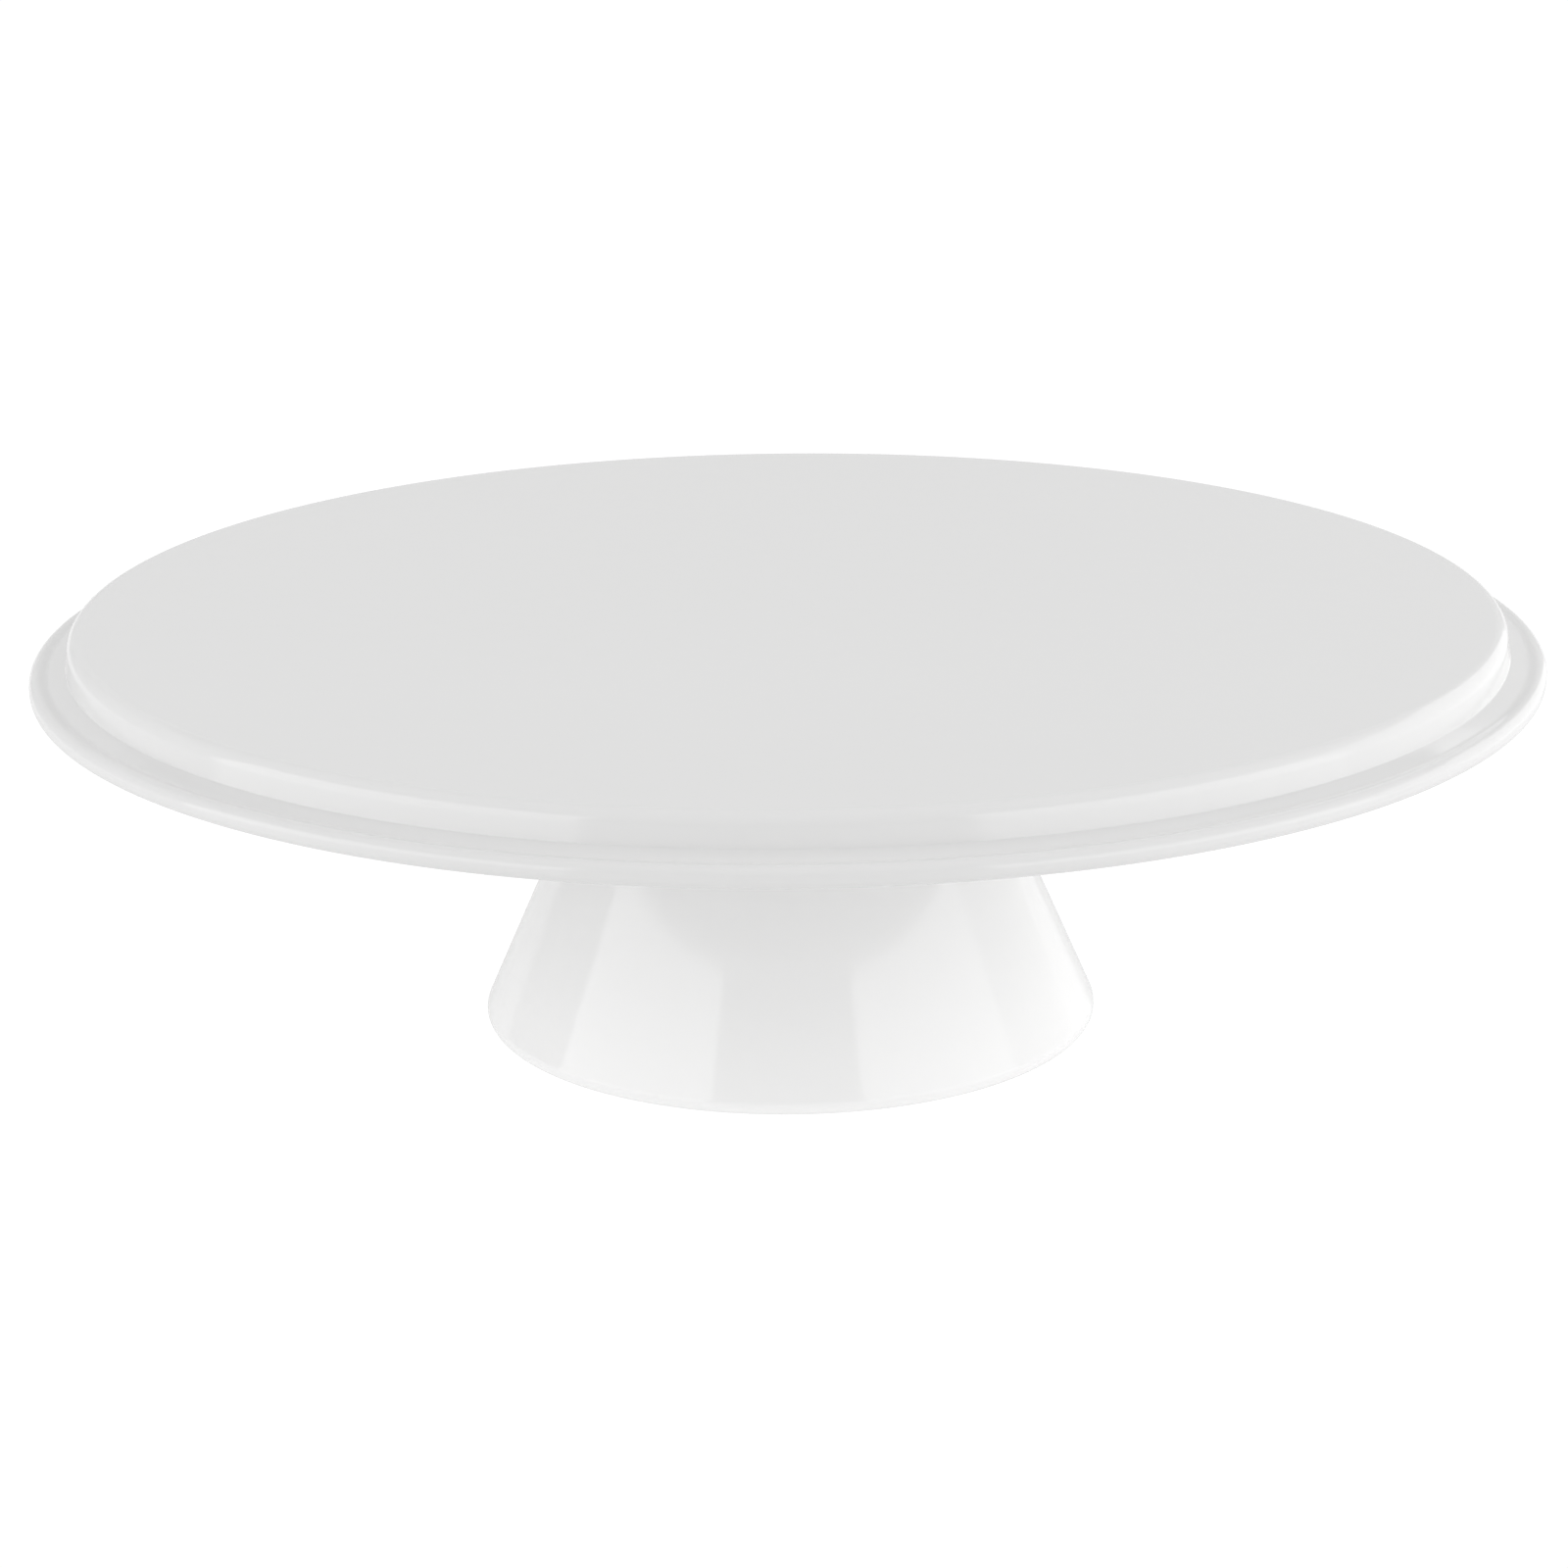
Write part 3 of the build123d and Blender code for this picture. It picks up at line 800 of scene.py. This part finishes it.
def make_cover():
    """Cover disc with two shallow moulded grooves underneath, pad recesses and countersinks."""
    corners = [(0, COVER_BOTTOM)]
    for middle in COVER_GROOVES:
        corners += groove_corners(
            middle, COVER_BOTTOM, COVER_GROOVE_DEPTH, COVER_GROOVE_HALVES, COVER_GROOVE_ROUNDS
        )
    corners += [
        (COVER_RADIUS, COVER_BOTTOM, COVER_ROUND),
        (COVER_RADIUS, COVER_TOP),
        (SPIGOT_OUTER, COVER_TOP, END_ROUND),
        (SPIGOT_OUTER, SPIGOT_TOP, EDGE_ROUND),
        (SPIGOT_INNER, SPIGOT_TOP, EDGE_ROUND),
        (SPIGOT_INNER, COVER_TOP),
        (0, COVER_TOP),
    ]
    thing = lathe("foot_cover", supported(outline(corners)))
    cuts = bmesh.new()
    cut_from = COVER_BOTTOM - CUT_PAST
    for centre in around(PAD_CIRCLE, PAD_COUNT):
        recess = circle_corners(centre, PAD_RADIUS + PAD_GAP)
        add_stack(cuts, [(cut_from, recess), (COVER_BOTTOM + PAD_RECESS, recess)])
    sink = SCREW_HEAD + SCREW_LAND + HOLE_CLEARANCE
    bore = PILOT_RADIUS + HOLE_CLEARANCE
    hole = [
        Vector((0, cut_from)),
        Vector((sink + CUT_PAST, cut_from)),
        Vector((bore, COVER_BOTTOM + sink - bore)),
        Vector((bore, COVER_TOP + CUT_PAST)),
        Vector((0, COVER_TOP + CUT_PAST)),
    ]
    for centre in around(SCREW_CIRCLE, SCREW_COUNT, SCREW_ANGLE):
        add_lathe(cuts, hole, SCREW_STEPS, centre)
    combine(thing, cuts, "DIFFERENCE")
    dress(thing, COVER, "base", "cover_plastic", "base_cover")


def add_thread(bm, centre, bottom, top):
    """A closed helical ridge round a screw's shank, tapering out at both ends."""
    turns = (top - bottom) / THREAD_PITCH
    count = math.ceil(turns * THREAD_STEPS)
    root = SCREW_CORE - THREAD_ROOT
    sections = []
    for k in range(count + 1):
        angle = 2 * math.pi * turns * k / count
        middle = bottom + (top - bottom) * k / count
        fade = min(1.0, k / THREAD_STEPS, (count - k) / THREAD_STEPS)
        crest = SCREW_CORE + (PILOT_RADIUS - SCREW_CORE) * fade
        section = []
        for radius, rise in ((root, -THREAD_HALF), (crest, 0.0), (root, THREAD_HALF)):
            x = centre[0] + radius * math.cos(angle)
            y = centre[1] + radius * math.sin(angle)
            z = middle + rise * THREAD_PITCH
            section.append(bm.verts.new((x * MM, y * MM, z * MM)))
        sections.append(section)
    bm.faces.new(sections[0])
    bm.faces.new(sections[-1][::-1])
    for low, high in zip(sections, sections[1:]):
        join_rings(bm, low, high)


def add_cross(bm, x, y):
    """The tapering cross that a driver leaves room for in a head, wide where it opens."""
    plan = []
    quarter = [(CROSS_ARM, -CROSS_HALF), (CROSS_ARM, CROSS_HALF), (CROSS_HALF, CROSS_HALF)]
    for _ in range(4):
        plan += quarter
        quarter = [(-b, a) for a, b in quarter]
    levels = []
    for height, size in ((COVER_BOTTOM - CROSS_START, 1.0), (COVER_BOTTOM + CROSS_DEPTH, CROSS_TAPER)):
        levels.append((height, [(x + a * size, y + b * size) for a, b in plan]))
    add_stack(bm, levels)


def make_screws():
    """Countersunk self-tapping screws with a cross recess."""
    places = around(SCREW_CIRCLE, SCREW_COUNT, SCREW_ANGLE)
    head_end = COVER_BOTTOM + SCREW_LAND + SCREW_HEAD - PILOT_RADIUS
    thread_end = COVER_BOTTOM + SCREW_LENGTH - SCREW_POINT
    shape = outline(
        [
            (0, COVER_BOTTOM),
            (SCREW_HEAD, COVER_BOTTOM, SCREW_EDGE_ROUND),
            (SCREW_HEAD, COVER_BOTTOM + SCREW_LAND),
            (SCREW_CORE, head_end),
            (SCREW_CORE, thread_end),
            (0, COVER_BOTTOM + SCREW_LENGTH),
        ]
    )
    heads = bmesh.new()
    for centre in places:
        add_lathe(heads, supported(shape, near=0.1), SCREW_STEPS, centre)
    thing = add_object("foot_cover_screws", clean_mesh("foot_cover_screws", heads))
    crosses = bmesh.new()
    for x, y in places:
        add_cross(crosses, x, y)
    combine(thing, crosses, "DIFFERENCE")
    threads = bmesh.new()
    threads.from_mesh(thing.data)
    for centre in places:
        add_thread(threads, centre, head_end + THREAD_START, thread_end)
    thing.data = clean_mesh(thing.name, threads)
    dress(thing, ZINC, "base", "zinc_steel", "cover_screws")


def make_pads():
    """Rubber pads with two grip grooves moulded in their faces."""
    top = COVER_BOTTOM + PAD_RECESS
    corners = [(0, 0)]
    for middle in PAD_GROOVES:
        corners += groove_corners(
            middle, 0, PAD_GROOVE_DEPTH, PAD_GROOVE_HALVES, PAD_GROOVE_ROUNDS
        )
    corners += [(PAD_RADIUS, 0, PAD_ROUND), (PAD_RADIUS, top, PAD_TOP_ROUND), (0, top)]
    pads = bmesh.new()
    for centre in around(PAD_CIRCLE, PAD_COUNT):
        add_lathe(pads, supported(outline(corners), near=0.15), PAD_STEPS, centre)
    thing = add_object("grip_pads", clean_mesh("grip_pads", pads))
    dress(thing, RUBBER, "base", "pad_rubber", "foot_pads")


# ---------------------------------------------------------------- bearing balls and other inner pieces

BALL_COUNT = 18
BALL_CIRCLE = 22.25
BALL_RADIUS = 2.0


def make_balls():
    """The ring of balls, with finer round shapes than the CAD's."""
    low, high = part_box("bearing_balls")
    height = (low.z + high.z) / 2
    bm = bmesh.new()
    for x, y in around(BALL_CIRCLE, BALL_COUNT):
        place = Matrix.Translation((x * MM, y * MM, height))
        bmesh.ops.create_icosphere(bm, subdivisions=4, radius=BALL_RADIUS * MM, matrix=place)
    thing = add_object("race_balls", clean_mesh("race_balls", bm))
    dress(thing, BALL_STEEL, "ball_carrier", "ball_steel", "bearing_balls")


def dress_inner_nodes():
    """Materials for the inner nodes, which keep their CAD shapes."""
    for node in ("lower_race", "upper_race"):
        dress_node(node, RACE_STEEL)
    for node in ("upper_bush", "lower_bush"):
        dress_node(node, ACETAL)
    for node in ("retaining_washer", "lock_nut"):
        dress_node(node, ZINC)
    dress_node("ball_cage", NYLON)
    dress_node("hub_insert", BRASS)
    dress_node("spindle", SPINDLE_STEEL)
    dress_node("disc_spring", SPRING_STEEL)
    dress_node("ballast_ring", IRON)


make_plate()
make_pedestal()
make_cover()
make_screws()
make_pads()
make_balls()
dress_inner_nodes()

# ---------------------------------------------------------------- floor, light and camera

CAMERA_DISTANCE_IN_RADII = 5.6008      # so that the framing follows the plate's size
CAMERA_DISTANCE = CAMERA_DISTANCE_IN_RADII * PLATE_RADIUS * MM
CAMERA_ELEVATION = math.radians(20.043)
VIEW_ELEVATION = math.radians(16.881)
VIEW_YAW = math.radians(0.069)
VIEW_ROLL = math.radians(-0.547)
LENS = 93.38
SENSOR_WIDTH = 36

FLOOR_RADIUS = 6.0
FLOOR_TONE = 0.45
FLOOR_ROUGHNESS = 0.15
FLOOR_GLOW = 0.36
ROOM_GLOW = 0.46
BACKDROP_WHITE = 1.05
BACKDROP_GREY = 0.62
WHITE_WITHIN = math.radians(16.5)      # the backdrop is white this far from the camera's line
GREY_BEYOND = math.radians(45)         # and grey from this far

WALL_PANEL_HEIGHT = 0.9
WALL_PANELS = (                        # name, from and to azimuth in degrees, distance, glow
    ("panel_left", -92, -29.4, 1.2, 1.5),
    ("panel_right", 26.5, 89, 1.2, 1.56),
    ("panel_back_right", 89, 150, 1.25, 0.83),
    ("panel_back", 150, 210, 1.3, 0.22),
    ("panel_back_left", 210, 268, 1.25, 0.14),
)
CEILING_PANEL_SIZE = (1.2, 1.0)
CEILING_PANEL_DISTANCE = 1.4
CEILING_PANEL_ELEVATION = math.radians(50)
CEILING_PANELS = (                     # name, azimuth in degrees, glow
    ("ceiling_left", -90, 0.78),
    ("ceiling_right", 90, 0.71),
    ("ceiling_back", 180, 0.76),
)
CARD_SIZE = 0.32
CARD_HEIGHT = 0.0004
CARD_GLOW = 0.3


def make_floor():
    """A pale table under the stand. It lights the stand and is mirrored in it, and the camera sees
    the plain backdrop in its place, so that the underside can be looked at too."""
    bm = bmesh.new()
    bmesh.ops.create_circle(bm, cap_ends=True, segments=96, radius=FLOOR_RADIUS)
    mesh = bpy.data.meshes.new("floor")
    bm.to_mesh(mesh)
    bm.free()
    floor = add_object("floor", mesh)
    made = bpy.data.materials.new("floor")
    made.use_nodes = True
    tree = made.node_tree
    shader = tree.nodes["Principled BSDF"]
    shader.inputs["Base Color"].default_value = (FLOOR_TONE, FLOOR_TONE, FLOOR_TONE, 1)
    shader.inputs["Roughness"].default_value = FLOOR_ROUGHNESS
    shader.inputs["Emission Color"].default_value = (1, 1, 1, 1)
    shader.inputs["Emission Strength"].default_value = FLOOR_GLOW
    clear = tree.nodes.new("ShaderNodeBsdfTransparent")
    path = tree.nodes.new("ShaderNodeLightPath")
    side = tree.nodes.new("ShaderNodeNewGeometry")
    unseen = tree.nodes.new("ShaderNodeMath")
    unseen.operation = "MAXIMUM"
    tree.links.new(path.outputs["Is Camera Ray"], unseen.inputs[0])
    tree.links.new(side.outputs["Backfacing"], unseen.inputs[1])
    both = tree.nodes.new("ShaderNodeMixShader")
    tree.links.new(unseen.outputs["Value"], both.inputs["Fac"])
    tree.links.new(shader.outputs["BSDF"], both.inputs[1])
    tree.links.new(clear.outputs["BSDF"], both.inputs[2])
    tree.links.new(both.outputs["Shader"], tree.nodes["Material Output"].inputs["Surface"])
    mesh.materials.append(made)


def backdrop_tone(tree):
    """White behind the stand as the camera below sees it, and pale grey towards every other side,
    so that a white reflection still stands out from what is behind it."""
    place = tree.nodes.new("ShaderNodeTexCoord")
    along = tree.nodes.new("ShaderNodeVectorMath")
    along.operation = "DOT_PRODUCT"
    along.inputs[1].default_value = (0, math.cos(VIEW_ELEVATION), -math.sin(VIEW_ELEVATION))
    tree.links.new(place.outputs["Generated"], along.inputs[0])
    return add_range(
        tree,
        along.outputs["Value"],
        BACKDROP_GREY,
        BACKDROP_WHITE,
        math.cos(GREY_BEYOND),
        math.cos(WHITE_WITHIN),
    )


def make_world():
    """A plain backdrop for the camera, and a weaker even light from all round for everything else."""
    world = bpy.data.worlds.new("studio")
    world.use_nodes = True
    tree = world.node_tree
    room = tree.nodes["Background"]
    room.inputs["Color"].default_value = (1, 1, 1, 1)
    room.inputs["Strength"].default_value = ROOM_GLOW
    shown = tree.nodes.new("ShaderNodeBackground")
    shown.inputs["Color"].default_value = (1, 1, 1, 1)
    tree.links.new(backdrop_tone(tree), shown.inputs["Strength"])
    path = tree.nodes.new("ShaderNodeLightPath")
    choose = tree.nodes.new("ShaderNodeMixShader")
    tree.links.new(path.outputs["Is Camera Ray"], choose.inputs["Fac"])
    tree.links.new(room.outputs["Background"], choose.inputs[1])
    tree.links.new(shown.outputs["Background"], choose.inputs[2])
    tree.links.new(choose.outputs["Shader"], tree.nodes["World Output"].inputs["Surface"])
    bpy.context.scene.world = world


def make_panel(name, place, facing, width, height, glow, mirrored=True):
    """A soft rectangular light of even glow (its radiance). The camera doesn't see it, and gloss
    shows it only where it is mirrored."""
    light = bpy.data.lights.new(name, "AREA")
    light.shape = "RECTANGLE"
    light.size = width
    light.size_y = height
    light.energy = math.pi * width * height * glow
    holder = bpy.data.objects.new(name, light)
    holder.location = place
    holder.rotation_mode = "QUATERNION"
    holder.rotation_quaternion = facing.to_track_quat("-Z", "Y")
    holder.visible_camera = False
    holder.visible_glossy = mirrored
    bpy.context.scene.collection.objects.link(holder)


def make_wall_panel(name, first, last, distance, glow):
    """An upright panel round the stand between two azimuths, in degrees; 0 is the camera's side."""
    middle, half = math.radians((first + last) / 2), math.radians((last - first) / 2)
    away = Vector((math.sin(middle), -math.cos(middle), 0))
    place = away * distance + Vector((0, 0, WALL_PANEL_HEIGHT / 2))
    make_panel(name, place, -away, 2 * distance * math.tan(half), WALL_PANEL_HEIGHT, glow)


def make_ceiling_panel(name, azimuth, glow):
    """A panel high above one side of the stand, facing it."""
    a, e = math.radians(azimuth), CEILING_PANEL_ELEVATION
    away = Vector((math.sin(a) * math.cos(e), -math.cos(a) * math.cos(e), math.sin(e)))
    place = away * CEILING_PANEL_DISTANCE
    make_panel(name, place, -away, *CEILING_PANEL_SIZE, glow, mirrored=False)


def make_card():
    """A glowing card on the table under the plate, which lights its underside and the neck."""
    place, up = Vector((0, 0, CARD_HEIGHT)), Vector((0, 0, 1))
    make_panel("card", place, up, CARD_SIZE, CARD_SIZE, CARD_GLOW, mirrored=False)


def make_camera():
    """The camera in front of the stand, above it and turned down on it."""
    camera = bpy.data.cameras.new("camera")
    camera.lens = LENS
    camera.sensor_width = SENSOR_WIDTH
    holder = bpy.data.objects.new("camera", camera)
    bpy.context.scene.collection.objects.link(holder)
    towards = Vector((0, -math.cos(CAMERA_ELEVATION), math.sin(CAMERA_ELEVATION)))
    level = math.cos(VIEW_ELEVATION)
    back = Vector((math.sin(VIEW_YAW) * level, -math.cos(VIEW_YAW) * level, math.sin(VIEW_ELEVATION)))
    right = Vector((0, 0, 1)).cross(back).normalized()
    up = back.cross(right)
    c, s = math.cos(VIEW_ROLL), math.sin(VIEW_ROLL)
    turned_right = right * c + up * s
    turned_up = up * c - right * s
    axes = Matrix((turned_right, turned_up, back)).transposed().to_4x4()
    holder.matrix_world = Matrix.Translation(towards * CAMERA_DISTANCE) @ axes
    bpy.context.scene.camera = holder


make_floor()
make_world()
for wall_panel in WALL_PANELS:
    make_wall_panel(*wall_panel)
for ceiling_panel in CEILING_PANELS:
    make_ceiling_panel(*ceiling_panel)
make_card()
make_camera()
bpy.context.scene.view_settings.view_transform = "Standard"
